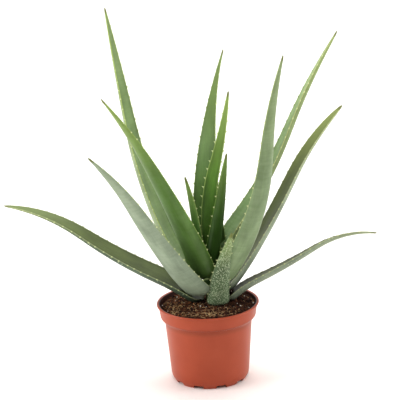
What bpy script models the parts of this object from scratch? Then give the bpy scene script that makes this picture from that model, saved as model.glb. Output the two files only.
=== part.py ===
"""A young aloe in a 12 cm nursery pot: the pot, its soil, the short stem, thirteen leaves and five roots.

Metres, +Z up. The origin is on the pot's axis, in the plane that the pot stands on, and the plant's
front faces -Y. An azimuth is measured from +X towards +Y, and a rise from the horizontal upwards.
"""

from collections import namedtuple
from math import cos, pi, radians, sin

import bmesh
import bpy
import numpy as np
from mathutils import Matrix, Vector
from mathutils.bvhtree import BVHTree

MM = 0.001
GAP = 0.3 * MM  # clearance between two pieces that touch
LEAF_GAP = 0.7 * MM  # the same between leaves

# Pot: a turned shell with a lip, a band below it, a shoulder, a tapered body and a foot ring.
POT_HEIGHT = 93.5 * MM
LIP_RADIUS = 60 * MM
LIP_DEPTH = 2.2 * MM
BAND_TOP_RADIUS = 58 * MM
BAND_BOTTOM_RADIUS = 56 * MM
BAND_BOTTOM = 76 * MM
BODY_TOP_RADIUS = 51 * MM
BODY_TOP = 70.5 * MM
BODY_BOTTOM_RADIUS = 46 * MM
BODY_BOTTOM = 9 * MM
FOOT_RADIUS = 43 * MM
FOOT_INNER_RADIUS = 40.5 * MM
HUB_RADIUS = 14 * MM
RECESS = 3 * MM
WALL = 1.3 * MM
FLOOR_TOP = RECESS + 1.5 * MM
ROUND_STEPS = 48

DRAINS = 10
DRAIN_FIRST_AZIMUTH = -74.0
DRAIN_SLOT = Vector((8.5 * MM, 12 * MM, 4.4 * MM))
DRAIN_HOLE_RADIUS = 3.5 * MM
DRAIN_HOLE_REACH = 34 * MM

# Soil: fills the pot to below the lip and rises a little to the plant.
SOIL_EDGE = 88 * MM
SOIL_CENTRE = 92 * MM

# Stem: leans to the left as it rises. Its foot is where it comes out of the soil.
STEM_FOOT = Vector((9, 0, 90)) * MM
STEM_HEAD = Vector((2.5, 2, 126)) * MM
STEM_DEPTH = 28 * MM
STEM_RADIUS = 9 * MM

ROOTS = 5
ROOT_RADIUS = 2.2 * MM
ROOT_SPREAD = 26 * MM
ROOT_DROP = 34 * MM

# A leaf is a loft of sections along its midrib. The midrib starts at a reach from the stem's axis and
# bends as the rises say, which hold at these fractions of its length.
RISE_AT = (0, 0.2, 0.6, 1)
LEAF_STATIONS = 17
SECTION_POINTS = 7
FULLNESS = 1.3
HEEL = 0.05
HEEL_START = 0.45
CHANNEL = 0.25

Leaf = namedtuple("Leaf", "name azimuth turn length rises width thickness taper rolls reach height colour")

BRIGHT = (0.18, 0.31, 0.09)
DEEP = (0.09, 0.20, 0.05)
BLOOM = (0.25, 0.33, 0.20)
OLIVE = (0.17, 0.22, 0.09)

# Lengths in millimetres and angles in degrees, from the youngest leaf outwards.
LEAVES = (
    Leaf("leaf_centre_small", 185, 9, 123, (82, 82, 82, 75), 24, 6, 0.68, (11, 27), 3, 126, BRIGHT),
    Leaf("leaf_centre_third", -41, 1, 157, (94, 74, 78, 78), 26, 8, 0.75, (0, -15), 1.5, 124.5, DEEP),
    Leaf("leaf_centre_second", 15, -6, 227, (81, 97, 74, 81), 23, 8, 0.73, (61, 59), 2.5, 120, BRIGHT),
    Leaf("leaf_left_middle", 208, 0, 263, (75, 66, 62, 51), 41, 12, 0.75, (22, 2), 4.5, 125, BRIGHT),
    Leaf("leaf_right_back", 25, -7, 320, (76, 47, 64, 53), 31, 11, 0.54, (4, -20), 3, 127, BRIGHT),
    Leaf("leaf_centre_tall", 87, -30, 272, (72, 100, 70, 57), 44, 7, 0.84, (-2, -36), 9, 122, DEEP),
    Leaf("leaf_left_tall", 150, -4, 339, (34, 63, 78, 78), 34, 12.5, 0.78, (17, -11), 8.5, 124, BRIGHT),
    Leaf("leaf_right_front", -30, -2, 296, (49, 62, 83, 72), 38, 11, 0.73, (-20, -3), 10, 120, BLOOM),
    Leaf("leaf_right_middle", 23, 3, 259, (42, 53, 58, 35), 37, 10, 0.54, (-20, 3), 13, 107, OLIVE),
    Leaf("leaf_left_second", 208, 1, 231, (45, 55, 59, 45), 43, 11, 0.71, (22, 15), 13, 108, BLOOM),
    Leaf("leaf_right_low", 4, 6, 197, (44, 22, 28, -14), 33, 9, 0.65, (-9, -22), 15, 98, OLIVE),
    Leaf("leaf_left_low", 166, -6, 266, (34, 21, 31, 0), 35, 12, 0.63, (-6, -8), 13.5, 99, OLIVE),
    Leaf("leaf_front_small", -72, 9, 111, (90, 70, 60, 58), 27, 11, 0.72, (-3, -1), 13, 94, BLOOM),
)


def clear_scene():
    for old in list(bpy.data.objects):
        bpy.data.objects.remove(old)


def new_collection(name, hidden=False):
    collection = bpy.data.collections.new(name)
    collection.hide_render = hidden
    bpy.context.scene.collection.children.link(collection)
    return collection


def finish(name, colour, roughness, metallic=0.0):
    """A plain material with the piece's own colour."""
    material = bpy.data.materials.new(name)
    material.use_nodes = True
    shader = material.node_tree.nodes["Principled BSDF"]
    shader.inputs["Base Color"].default_value = (*colour, 1)
    shader.inputs["Roughness"].default_value = roughness
    shader.inputs["Metallic"].default_value = metallic
    return material


def add_mesh(name, points, faces, collection):
    mesh = bpy.data.meshes.new(name)
    mesh.from_pydata(points, [], faces)
    mesh.validate()
    piece = bpy.data.objects.new(name, mesh)
    collection.objects.link(piece)
    return piece


def smooth(piece, angle=40):
    piece.data.shade_smooth()
    piece.data.set_sharp_from_angle(angle=radians(angle))


def turned(name, profile, collection):
    """A profile of (radius, height) points, outer side downwards, turned about the local Z axis."""
    points = [(radius, 0, height) for radius, height in profile]
    edges = [(i, i + 1) for i in range(len(points) - 1)]
    mesh = bpy.data.meshes.new(name)
    mesh.from_pydata(points, edges, [])
    piece = bpy.data.objects.new(name, mesh)
    collection.objects.link(piece)
    screw = piece.modifiers.new("Turn", "SCREW")
    screw.steps = screw.render_steps = ROUND_STEPS
    screw.use_merge_vertices = True
    screw.merge_threshold = 0.01 * MM
    return piece


def make_cutter(piece):
    piece.hide_render = True
    piece.display_type = "WIRE"
    return piece


def surface_tree(piece):
    mesh = evaluated_mesh(piece)
    mesh.transform(piece.matrix_world)
    shape = bmesh.new()
    shape.from_mesh(mesh)
    tree = BVHTree.FromBMesh(shape)
    shape.free()
    bpy.data.meshes.remove(mesh)
    return tree


def cross(piece, other):
    """Whether the surfaces of two pieces meet."""
    bpy.context.view_layer.update()
    return bool(surface_tree(piece).overlap(surface_tree(other)))


def cut(piece, cutter):
    modifier = piece.modifiers.new("Cut " + cutter.name, "BOOLEAN")
    modifier.operation = "DIFFERENCE"
    modifier.solver = "EXACT"
    modifier.object = cutter


def evaluated_mesh(piece):
    """A copy of the piece's mesh with its modifiers applied."""
    graph = bpy.context.evaluated_depsgraph_get()
    return bpy.data.meshes.new_from_object(piece.evaluated_get(graph))


def islands(mesh):
    """The connected groups of the mesh's vertices."""
    left = set(mesh.verts)
    while left:
        group, front = set(), [left.pop()]
        while front:
            vertex = front.pop()
            group.add(vertex)
            near = {edge.other_vert(vertex) for edge in vertex.link_edges} & left
            left -= near
            front.extend(near)
        yield group


def settle(piece):
    """Applies the piece's cuts, and drops the chips that they leave beside its largest body."""
    mesh = evaluated_mesh(piece)
    piece.modifiers.clear()
    piece.data = mesh
    shape = bmesh.new()
    shape.from_mesh(mesh)
    groups = sorted(islands(shape), key=len)
    for group in groups[:-1]:
        bmesh.ops.delete(shape, geom=list(group), context="VERTS")
    shape.to_mesh(mesh)
    shape.free()


def arc(centre_radius, centre_height, radius, start, end, count):
    """Points (radius, height) on an arc of a profile, with angles in degrees."""
    angles = np.radians(np.linspace(start, end, count))
    return [(centre_radius + radius * cos(a), centre_height + radius * sin(a)) for a in angles]


def pot_inner_profile():
    """The inside of the pot's wall from its floor up to the lip, as (radius, height) points."""
    return [
        (FOOT_RADIUS - WALL - 1.5 * MM, FLOOR_TOP),
        (BODY_BOTTOM_RADIUS - WALL, BODY_BOTTOM + 1 * MM),
        (BODY_TOP_RADIUS - WALL, BODY_TOP),
        (BAND_BOTTOM_RADIUS - WALL, BAND_BOTTOM + 1 * MM),
        (BAND_TOP_RADIUS - WALL, POT_HEIGHT - 0.6 * MM),
    ]


def make_pot(collection, cutters):
    half_lip = LIP_DEPTH / 2
    lip = arc(LIP_RADIUS - half_lip, POT_HEIGHT - half_lip, half_lip, 90, -80, 6)
    shoulder = arc(BAND_BOTTOM_RADIUS - 3 * MM, BAND_BOTTOM, 3 * MM, 0, -60, 4)
    outside = [
        *lip,
        (BAND_TOP_RADIUS, POT_HEIGHT - LIP_DEPTH - 0.4 * MM),
        *shoulder,
        (BODY_TOP_RADIUS, BODY_TOP),
        (BODY_BOTTOM_RADIUS, BODY_BOTTOM),
        (BODY_BOTTOM_RADIUS - 0.9 * MM, BODY_BOTTOM - 4 * MM),
        (FOOT_RADIUS, 1.2 * MM),
        (FOOT_RADIUS - 0.8 * MM, 0),
        (FOOT_INNER_RADIUS, 0),
        (FOOT_INNER_RADIUS - 0.5 * MM, RECESS),
        (HUB_RADIUS + 1 * MM, RECESS),
        (HUB_RADIUS, 0),
        (0, 0),
    ]
    profile = [(0, FLOOR_TOP), *pot_inner_profile(), *outside]
    pot = turned("pot", profile, collection)
    pot.data.materials.append(finish("terracotta_plastic", (0.46, 0.11, 0.055), 0.45))

    for number in range(DRAINS):
        azimuth = radians(DRAIN_FIRST_AZIMUTH + number * 360 / DRAINS)
        turn = Matrix.Rotation(azimuth, 4, "Z")
        bpy.ops.mesh.primitive_cube_add(size=1)
        slot = make_cutter(bpy.context.object)
        slot.name = f"drain_slot_{number}"
        slot.matrix_world = (
            turn @ Matrix.Translation((FOOT_RADIUS, 0, DRAIN_SLOT.z / 2 - 0.5 * MM))
            @ Matrix.Diagonal((*DRAIN_SLOT, 1))
        )
        bpy.ops.mesh.primitive_cylinder_add(vertices=16, radius=DRAIN_HOLE_RADIUS, depth=10 * MM)
        hole = make_cutter(bpy.context.object)
        hole.name = f"drain_hole_{number}"
        hole.matrix_world = turn @ Matrix.Translation((DRAIN_HOLE_REACH, 0, RECESS))
        for cutter in (slot, hole):
            for owner in cutter.users_collection:
                owner.objects.unlink(cutter)
            cutters.objects.link(cutter)
            cut(pot, cutter)
    settle(pot)
    smooth(pot)


def make_stem(collection, cutters):
    """The stem, and the same shape one gap larger for cutting its neighbours."""
    axis = STEM_HEAD - STEM_FOOT
    height = axis.length
    for name, grow in (("stem", 0), ("stem_clearance", GAP)):
        profile = [
            (0, height + grow),
            (0.35 * STEM_RADIUS + grow, height - 1.5 * MM + grow),
            (0.62 * STEM_RADIUS + grow, height - 8 * MM),
            (0.85 * STEM_RADIUS + grow, 0.55 * height),
            (STEM_RADIUS + grow, 0.2 * height),
            (STEM_RADIUS + grow, -0.3 * STEM_DEPTH),
            (0.75 * STEM_RADIUS + grow, -0.75 * STEM_DEPTH),
            (0.4 * STEM_RADIUS + grow, -STEM_DEPTH - grow),
            (0, -STEM_DEPTH - grow),
        ]
        piece = turned(name, profile, cutters if grow else collection)
        piece.modifiers["Turn"].steps = piece.modifiers["Turn"].render_steps = 20
        piece.location = STEM_FOOT
        piece.rotation_euler = axis.to_track_quat("Z", "Y").to_euler()
        piece.data.materials.append(finish(name, (0.26, 0.25, 0.13), 0.8))
        settle(piece)
        smooth(piece)
        if grow:
            make_cutter(piece)
    return piece


def make_root(number, grow, collection):
    """A fleshy root that leaves the stem's buried part and bends down, as a tapered round bar."""
    azimuth = radians(40 + number * 360 / ROOTS)
    out = Vector((cos(azimuth), sin(azimuth), 0))
    start = STEM_FOOT - Vector((0, 0, STEM_DEPTH * (0.45 + 0.06 * (number % 3))))
    start += out * 0.6 * STEM_RADIUS
    curve = bpy.data.curves.new("root", "CURVE")
    curve.dimensions = "3D"
    curve.bevel_depth = ROOT_RADIUS + grow
    curve.bevel_resolution = 1
    curve.use_fill_caps = True
    spline = curve.splines.new("POLY")
    steps = 7
    spline.points.add(steps - 1)
    for i, point in enumerate(spline.points):
        t = i / (steps - 1)
        place = start + out * ROOT_SPREAD * t * (1 - 0.3 * t) - Vector((0, 0, ROOT_DROP * t**1.4))
        point.co = (*place, 1)
        point.radius = 1 - 0.45 * t
    bar = bpy.data.objects.new("root_bar", curve)
    collection.objects.link(bar)
    bpy.context.view_layer.update()
    mesh = evaluated_mesh(bar)
    shape = bmesh.new()
    shape.from_mesh(mesh)
    bmesh.ops.remove_doubles(shape, verts=shape.verts, dist=0.01 * MM)
    shape.to_mesh(mesh)
    shape.free()
    bpy.data.objects.remove(bar)
    root = bpy.data.objects.new(f"root_{number + 1}" + ("_clearance" if grow else ""), mesh)
    collection.objects.link(root)
    return root


def make_roots(stem_clearance, collection, cutters):
    """The roots, cut back from the stem. Returns the larger shapes that cut the soil."""
    skin = finish("root_skin", (0.55, 0.40, 0.22), 0.85)
    for number in range(ROOTS):
        root = make_root(number, 0, collection)
        root.data.materials.append(skin)
        cut(root, stem_clearance)
        settle(root)
        smooth(root)
    return [make_cutter(make_root(number, GAP, cutters)) for number in range(ROOTS)]


def make_soil(others, collection):
    """The potting mix, one gap inside the pot, with room for the stem and the roots."""
    inner = pot_inner_profile()
    (low_radius, low), (body_radius, body), (top_radius, top), (band_radius, band), _ = inner
    edge_radius = band_radius + (SOIL_EDGE - band) * 0.09
    mound = [
        (edge_radius * t, SOIL_CENTRE - (SOIL_CENTRE - SOIL_EDGE) * t**2) for t in (0, 0.3, 0.6, 0.8, 0.93)
    ]
    profile = [
        *mound,
        (edge_radius - GAP, SOIL_EDGE - 0.5 * MM),
        (band_radius - GAP, band + 0.2 * MM),
        (top_radius - GAP, top + 0.2 * MM),
        (body_radius - GAP, body + GAP),
        (low_radius - GAP, low + GAP),
        (0, low + GAP),
    ]
    soil = turned("soil", profile, collection)
    soil.data.materials.append(finish("potting_mix", (0.06, 0.03, 0.018), 0.95))
    for other in others:
        cut(soil, other)
    settle(soil)
    smooth(soil)


def stem_axis_at(height):
    """The point of the stem's axis at a height above the origin."""
    return STEM_FOOT.lerp(STEM_HEAD, (height - STEM_FOOT.z) / (STEM_HEAD.z - STEM_FOOT.z))


def midrib(leaf):
    """For each station: the place, the direction along the leaf, and its azimuth there."""
    steps = 12 * (LEAF_STATIONS - 1)
    t = np.linspace(0, 1, steps + 1)
    rise = np.radians(np.interp(t, RISE_AT, leaf.rises))
    azimuth = np.radians(leaf.azimuth + leaf.turn * t)
    along = np.stack([np.cos(rise) * np.cos(azimuth), np.cos(rise) * np.sin(azimuth), np.sin(rise)], 1)
    moves = (along[1:] + along[:-1]) / 2 * leaf.length * MM / steps
    places = np.vstack([np.zeros(3), np.cumsum(moves, 0)])
    out = Vector((cos(radians(leaf.azimuth)), sin(radians(leaf.azimuth)), 0))
    start = stem_axis_at(leaf.height * MM) + out * leaf.reach * MM
    for i in range(0, steps + 1, 12):
        yield t[i], Vector(places[i]) + start, Vector(along[i]).normalized(), azimuth[i]


def section(half_width, thickness, channel, grow):
    """Points (across, up) round a leaf: the rounded back from margin to margin, then the hollow face."""
    back = [
        (half_width * cos(a) + grow * cos(a), -thickness * sin(a) ** 0.9 - grow * sin(a))
        for a in np.linspace(0, pi, SECTION_POINTS)
    ]
    face = []
    for i in range(SECTION_POINTS - 2, 0, -1):
        across = cos(pi * (1 - i / (SECTION_POINTS - 1)))
        face.append((-half_width * across, grow - channel * thickness * (1 - across**2)))
    return back, face


def make_leaf(leaf, grow, collection):
    """A leaf as a loft of sections. With grow, every surface lies that much further out."""
    rings = []
    for t, place, along, azimuth in midrib(leaf):
        roll = radians(leaf.rolls[0] + (leaf.rolls[1] - leaf.rolls[0]) * t)
        level = Vector((-sin(azimuth), cos(azimuth), 0))
        up = along.cross(level)
        across_axis = level * cos(roll) + up * sin(roll)
        up_axis = up * cos(roll) - level * sin(roll)
        heel = HEEL_START + (1 - HEEL_START) * (1 - (1 - min(t / HEEL, 1)) ** 2) ** 0.5
        size = heel * max(1 - t**FULLNESS, 0) ** leaf.taper
        half_width = max(leaf.width * MM / 2 * size, 0.4 * MM)
        thickness = max(leaf.thickness * MM * size, 0.5 * MM)
        back, face = section(half_width, thickness, CHANNEL * (1 - t), grow)
        end = grow * (t - 0.5) * 2 if t in (0, 1) else 0
        centre = place + along * end
        rings.append([centre + across_axis * across + up_axis * height for across, height in back + face])
    count = len(rings[0])
    faces = [tuple(range(count)), tuple(reversed(range(len(rings) * count - count, len(rings) * count)))]
    for i in range(len(rings) - 1):
        for j in range(count):
            k = (j + 1) % count
            low, high = i * count, (i + 1) * count
            faces.append((low + k, low + j, high + j))
            faces.append((low + k, high + j, high + k))
    name = leaf.name + ("_clearance" if grow else "")
    return add_mesh(name, [point for ring in rings for point in ring], faces, collection)


def make_leaves(stem_clearance, collection, cutters):
    """The leaves from the middle outwards: each is cut back from the stem and from the ones inside it."""
    inner = [stem_clearance]
    for leaf in LEAVES:
        blade = make_leaf(leaf, 0, collection)
        blade.data.materials.append(finish(leaf.name, leaf.colour, 0.5))
        for cutter in inner:
            if cross(blade, cutter):
                cut(blade, cutter)
                settle(blade)
        smooth(blade, 60)
        inner.append(make_cutter(make_leaf(leaf, LEAF_GAP, cutters)))


def main():
    clear_scene()
    plant = new_collection("potted_aloe")
    cutters = new_collection("cutters", hidden=True)
    make_pot(plant, cutters)
    stem_clearance = make_stem(plant, cutters)
    root_clearances = make_roots(stem_clearance, plant, cutters)
    make_soil([stem_clearance, *root_clearances], plant)
    make_leaves(stem_clearance, plant, cutters)


main()
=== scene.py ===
# %% [markdown]
# # A potted aloe, grown in mesh code
#
# The real object is a young aloe in a terracotta-coloured plastic nursery pot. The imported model
# gives every part its place and size, and this lesson grows finer parts over it: fleshy leaves with
# teeth, a bed of potting mix, the stem's sheath, and the finishes that make them look alive.
# All sizes are real ones, in metres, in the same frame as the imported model.

# %% Load the frame
from collections import namedtuple
from math import cos, pi, radians, sin

import bpy
import numpy as np
from mathutils import Matrix, Vector, noise


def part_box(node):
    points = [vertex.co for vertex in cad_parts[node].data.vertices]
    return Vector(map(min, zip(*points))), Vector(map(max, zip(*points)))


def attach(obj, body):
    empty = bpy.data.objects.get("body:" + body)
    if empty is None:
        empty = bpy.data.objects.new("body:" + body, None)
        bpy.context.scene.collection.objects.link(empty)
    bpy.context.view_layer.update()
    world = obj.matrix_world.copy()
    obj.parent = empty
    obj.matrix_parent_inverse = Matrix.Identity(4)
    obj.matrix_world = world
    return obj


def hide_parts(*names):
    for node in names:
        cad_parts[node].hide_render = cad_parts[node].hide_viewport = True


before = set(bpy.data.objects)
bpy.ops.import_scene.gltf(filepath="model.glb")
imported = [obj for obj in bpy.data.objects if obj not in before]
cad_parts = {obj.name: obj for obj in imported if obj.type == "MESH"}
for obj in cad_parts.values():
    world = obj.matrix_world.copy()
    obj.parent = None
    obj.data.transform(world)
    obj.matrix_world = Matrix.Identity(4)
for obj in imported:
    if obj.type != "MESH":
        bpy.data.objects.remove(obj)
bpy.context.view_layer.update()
MM = 0.001

# %% [markdown]
# ## Colours and nodes
#
# A paint chart or a colour picker gives sRGB hex values, but the renderer adds up light in linear
# numbers, so one function converts them. One more function adds a shader node with its settings and
# its links, and four short ones call it for the nodes that come up most. They could be typed out
# at each use; having them once keeps every finish short to read.

# %% Colour and node helpers
def colour(hex_value):
    """The linear colour, with alpha 1, of an sRGB hex value such as #a5482f."""
    parts = [int(hex_value[i:i + 2], 16) / 255 for i in (1, 3, 5)]
    linear = [c / 12.92 if c <= 0.04045 else ((c + 0.055) / 1.055) ** 2.4 for c in parts]
    return (*linear, 1.0)


def node(tree, kind, inputs=(), **settings):
    """Adds a node. inputs maps a socket's name or number to a value, or to the output that feeds it."""
    made = tree.nodes.new(kind)
    for name, value in settings.items():
        setattr(made, name, value)
    for socket, value in dict(inputs).items():
        if isinstance(value, bpy.types.NodeSocket):
            tree.links.new(value, made.inputs[socket])
        else:
            made.inputs[socket].default_value = value
    return made


def ranged(tree, value, low=0.0, high=1.0, start=0.0, end=1.0, **settings):
    """Maps a value from the range low to high onto the range start to end."""
    inputs = {"Value": value, "From Min": low, "From Max": high, "To Min": start, "To Max": end}
    return node(tree, "ShaderNodeMapRange", inputs, **settings).outputs["Result"]


def blended(tree, share, first, second):
    """Mixes two colours; share is how much of the second there is."""
    inputs = {"Factor": share, "A": first, "B": second}
    return node(tree, "ShaderNodeMix", inputs, data_type="RGBA").outputs["Result"]


def reckoned(tree, operation, first, second, **settings):
    """One sum on two values, such as MULTIPLY."""
    inputs = {0: first, 1: second}
    return node(tree, "ShaderNodeMath", inputs, operation=operation, **settings).outputs["Value"]


def roughen(tree, shader, height, strength, distance):
    """Gives a surface a fine relief."""
    inputs = {"Height": height, "Strength": strength, "Distance": distance}
    relief = node(tree, "ShaderNodeBump", inputs)
    tree.links.new(relief.outputs["Normal"], shader.inputs["Normal"])


def new_finish(name, **shader_values):
    """An empty material with its shader, whose uniform values are set on its own sockets."""
    finish = bpy.data.materials.new(name)
    finish.use_nodes = True
    shader = finish.node_tree.nodes["Principled BSDF"]
    for socket, value in shader_values.items():
        shader.inputs[socket.replace("_", " ")].default_value = value
    return finish, finish.node_tree, shader


print("terracotta as linear light:", [round(c, 3) for c in colour("#a5482f")])

# %% [markdown]
# ## Camera
#
# The camera stands about two metres off with a long lens, a little above the plant, so the leaves
# keep their true proportions. The camera could be aimed with a constraint; a rotation
# matrix built from its pitch and its slight roll is exact and leaves nothing to evaluate.

# %% Camera
CAMERA_PLACE = Vector((-0.0042, -2.067, 0.846))
CAMERA_PITCH = radians(16.9)
CAMERA_ROLL = radians(2.35)
LENS = 168.4
SENSOR_WIDTH = 36

ahead = Vector((0, cos(CAMERA_PITCH), -sin(CAMERA_PITCH)))
level_up = Vector((0, sin(CAMERA_PITCH), cos(CAMERA_PITCH)))
level_right = Vector((1, 0, 0))
camera_right = level_right * cos(CAMERA_ROLL) - level_up * sin(CAMERA_ROLL)
camera_up = level_right * sin(CAMERA_ROLL) + level_up * cos(CAMERA_ROLL)

camera_data = bpy.data.cameras.new("camera")
camera_data.lens = LENS
camera_data.sensor_width = SENSOR_WIDTH
camera = bpy.data.objects.new("camera", camera_data)
turn = Matrix((camera_right, camera_up, -ahead)).transposed().to_4x4()
camera.matrix_world = Matrix.Translation(CAMERA_PLACE) @ turn
bpy.context.scene.collection.objects.link(camera)
bpy.context.scene.camera = camera
print("camera looks down by", round(np.degrees(CAMERA_PITCH), 1), "degrees")

# %% [markdown]
# ## Studio
#
# The plant stands in a bright white studio: pale floor, soft boxes left and right, one overhead and
# a weak one in front. The front is dimmer, so the pot's middle is its deepest colour.
# A backdrop could be modelled; a wide floor under a white sky is plainer and has no horizon line.

# %% Floor and light
FLOOR_SIDE = 30.0
VIEW_GAMMA = 0.87

view = bpy.context.scene.view_settings
view.view_transform = "Standard"
view.gamma = VIEW_GAMMA

floor_mesh = bpy.data.meshes.new("floor")
half = FLOOR_SIDE / 2
corners = [(-half, -half, 0), (half, -half, 0), (half, half, 0), (-half, half, 0)]
floor_mesh.from_pydata(corners, [], [(0, 1, 2, 3)])
floor = bpy.data.objects.new("floor", floor_mesh)
bpy.context.scene.collection.objects.link(floor)

paper, tree, shader = new_finish("matt_white_paper", Roughness=0.9, Specular_IOR_Level=0.2)
places = node(tree, "ShaderNodeTexCoord")
fibre = node(tree, "ShaderNodeTexNoise", {"Vector": places.outputs["Object"], "Scale": 400, "Detail": 3})
tone = node(tree, "ShaderNodeValToRGB", {"Fac": fibre.outputs["Fac"]})
tone.color_ramp.elements[0].color = colour("#f6f3f0")
tone.color_ramp.elements[1].color = colour("#fbf9f7")
depth = node(tree, "ShaderNodeSeparateXYZ", {"Vector": places.outputs["Object"]})
warmth = ranged(tree, depth.outputs["Y"], -0.1, 0.5, 0.6, 0.0, interpolation_type="SMOOTHSTEP")
tinted = blended(tree, warmth, tone.outputs["Color"], colour("#fdf7f3"))
tree.links.new(tinted, shader.inputs["Base Color"])
floor_mesh.materials.append(paper)


def softbox(name, place, aim, side, power):
    """A square soft light at a place, turned towards aim; side in metres, power in watts."""
    light = bpy.data.lights.new(name, "AREA")
    light.shape = "SQUARE"
    light.size = side
    light.energy = power
    lamp = bpy.data.objects.new(name, light)
    lamp.location = place
    lamp.rotation_euler = (Vector(aim) - Vector(place)).to_track_quat("-Z", "Y").to_euler()
    bpy.context.scene.collection.objects.link(lamp)


softbox("softbox_left", (-3.4, -0.6, 1.7), (0, 0, 0.2), 2.2, 80)
softbox("softbox_right", (3.4, -0.2, 1.6), (0, 0, 0.2), 2.0, 46)
softbox("softbox_front", (0.0, -2.6, 2.3), (0, 0, 0.1), 1.4, 12)
softbox("softbox_top", (0.2, 1.8, 3.6), (0, 0.5, 0.0), 3.0, 84)

sky = bpy.data.worlds.new("studio")
bpy.context.scene.world = sky
sky.use_nodes = True
tree = sky.node_tree
direction = node(tree, "ShaderNodeTexCoord")
front_to_back = node(tree, "ShaderNodeSeparateXYZ", {"Vector": direction.outputs["Generated"]})
glow = ranged(tree, front_to_back.outputs["Y"], -1.0, 0.2, 0.42, 0.92)
tree.links.new(glow, tree.nodes["Background"].inputs["Strength"])
tree.nodes["Background"].inputs["Color"].default_value = colour("#ffffff")

# %% [markdown]
# ## The leaves as a grower would list them
#
# An aloe grows one leaf after another in a rosette. Each leaf here has a compass direction, a
# length, how steeply it rises at four places, its width, its thickness and how its blade is rolled.
# A modeller could push points about by hand; a list keeps all thirteen leaves one kind of thing.

# %% Leaf schedule
STEM_FOOT = Vector((9, 0, 90)) * MM
STEM_HEAD = Vector((2.5, 2, 126)) * MM
RISE_AT = (0, 0.2, 0.6, 1)

Leaf = namedtuple("Leaf", "name azimuth turn length rises width thickness taper rolls reach height slot")
LEAVES = [
    Leaf("centre_small", 185, 9, 123, (82, 82, 82, 75), 24, 6, 0.68, (11, 27), 3, 126, "leaf_bright"),
    Leaf("centre_third", -41, 1, 157, (94, 74, 78, 78), 26, 8, 0.75, (0, -15), 1.5, 124.5, "leaf_deep"),
    Leaf("centre_second", 15, -6, 227, (81, 97, 74, 81), 23, 8, 0.73, (61, 59), 2.5, 120, "leaf_bright"),
    Leaf("left_middle", 208, 0, 263, (75, 66, 62, 51), 41, 12, 0.75, (22, 2), 4.5, 125, "leaf_bright"),
    Leaf("right_back", 25, -7, 320, (76, 47, 64, 53), 31, 11, 0.54, (4, -20), 3, 127, "leaf_bright"),
    Leaf("centre_tall", 87, -30, 272, (72, 100, 70, 57), 44, 7, 0.84, (-2, -36), 9, 122, "leaf_deep"),
    Leaf("left_tall", 150, -4, 339, (34, 63, 78, 78), 34, 12.5, 0.78, (17, -11), 8.5, 124, "leaf_bright"),
    Leaf("right_front", -30, -2, 296, (49, 62, 83, 72), 38, 11, 0.73, (-20, -3), 10, 120, "leaf_bloom"),
    Leaf("right_middle", 23, 3, 259, (42, 53, 58, 35), 37, 10, 0.54, (-20, 3), 13, 107, "leaf_olive"),
    Leaf("left_second", 208, 1, 231, (45, 55, 59, 45), 43, 11, 0.71, (22, 15), 13, 108, "leaf_bloom"),
    Leaf("right_low", 4, 6, 197, (44, 22, 28, -14), 33, 9, 0.65, (-9, -22), 15, 98, "leaf_olive"),
    Leaf("left_low", 166, -6, 266, (34, 21, 31, 0), 35, 12, 0.63, (-6, -8), 13.5, 99, "leaf_olive"),
    Leaf("front_small", -72, 9, 111, (90, 70, 60, 58), 27, 11, 0.72, (-3, -1), 13, 94, "leaf_bloom"),
]
print("leaves:", len(LEAVES), "longest:", max(leaf.length for leaf in LEAVES), "mm")

# %% [markdown]
# ## The midrib
#
# The upper middle line of a leaf leaves the stem and bends as it grows. Adding up short steps in
# the growing direction gives it a true length, which a Bezier curve would not promise.

# %% Walk along a leaf
WALK_STEPS = 600
BEND_STEPS = 61  # steps over which the changes of rise are smoothed


def walk(leaf, t):
    """Places, directions, across axes and up axes of the upper middle line at the fractions t."""
    fine = np.linspace(0, 1, WALK_STEPS + 1)
    rise = np.radians(np.interp(fine, RISE_AT, leaf.rises))
    even = np.ones(BEND_STEPS) / BEND_STEPS
    rise = np.convolve(np.pad(rise, BEND_STEPS // 2, mode="edge"), even, mode="valid")
    azimuth = np.radians(leaf.azimuth + leaf.turn * fine)
    along = np.stack([np.cos(rise) * np.cos(azimuth), np.cos(rise) * np.sin(azimuth), np.sin(rise)], 1)
    moves = (along[1:] + along[:-1]) / 2 * leaf.length * MM / WALK_STEPS
    path = np.vstack([np.zeros(3), np.cumsum(moves, 0)])
    level = np.stack([-np.sin(azimuth), np.cos(azimuth), np.zeros_like(azimuth)], 1)
    up = np.cross(along, level)
    roll = np.radians(leaf.rolls[0] + (leaf.rolls[1] - leaf.rolls[0]) * fine)[:, None]
    across_axis = level * np.cos(roll) + up * np.sin(roll)
    up_axis = up * np.cos(roll) - level * np.sin(roll)
    out = Vector((cos(radians(leaf.azimuth)), sin(radians(leaf.azimuth)), 0))
    share = (leaf.height * MM - STEM_FOOT.z) / (STEM_HEAD.z - STEM_FOOT.z)
    start = np.array(STEM_FOOT.lerp(STEM_HEAD, share) + out * leaf.reach * MM)

    def sample(values):
        return np.stack([np.interp(t, fine, values[:, k]) for k in range(3)], -1)

    return sample(path) + start, sample(along), sample(across_axis), sample(up_axis)


tip = walk(LEAVES[3], np.array([1.0]))[0][0]
print("tip of", LEAVES[3].name, "at", [round(float(x), 3) for x in tip])

# %% [markdown]
# ## The skin of a leaf
#
# Cut across, an aloe leaf is a fat crescent: a full round back, a slightly hollow face, and two
# crisp margins. Rings of that crescent along the midrib are joined into one skin. Metaballs or
# sculpting would lose the margins. The skin also remembers where each point lies on the leaf, in
# two attributes that the finish reads: place (across, along, back) and zone (edge, tip, tooth).

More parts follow.
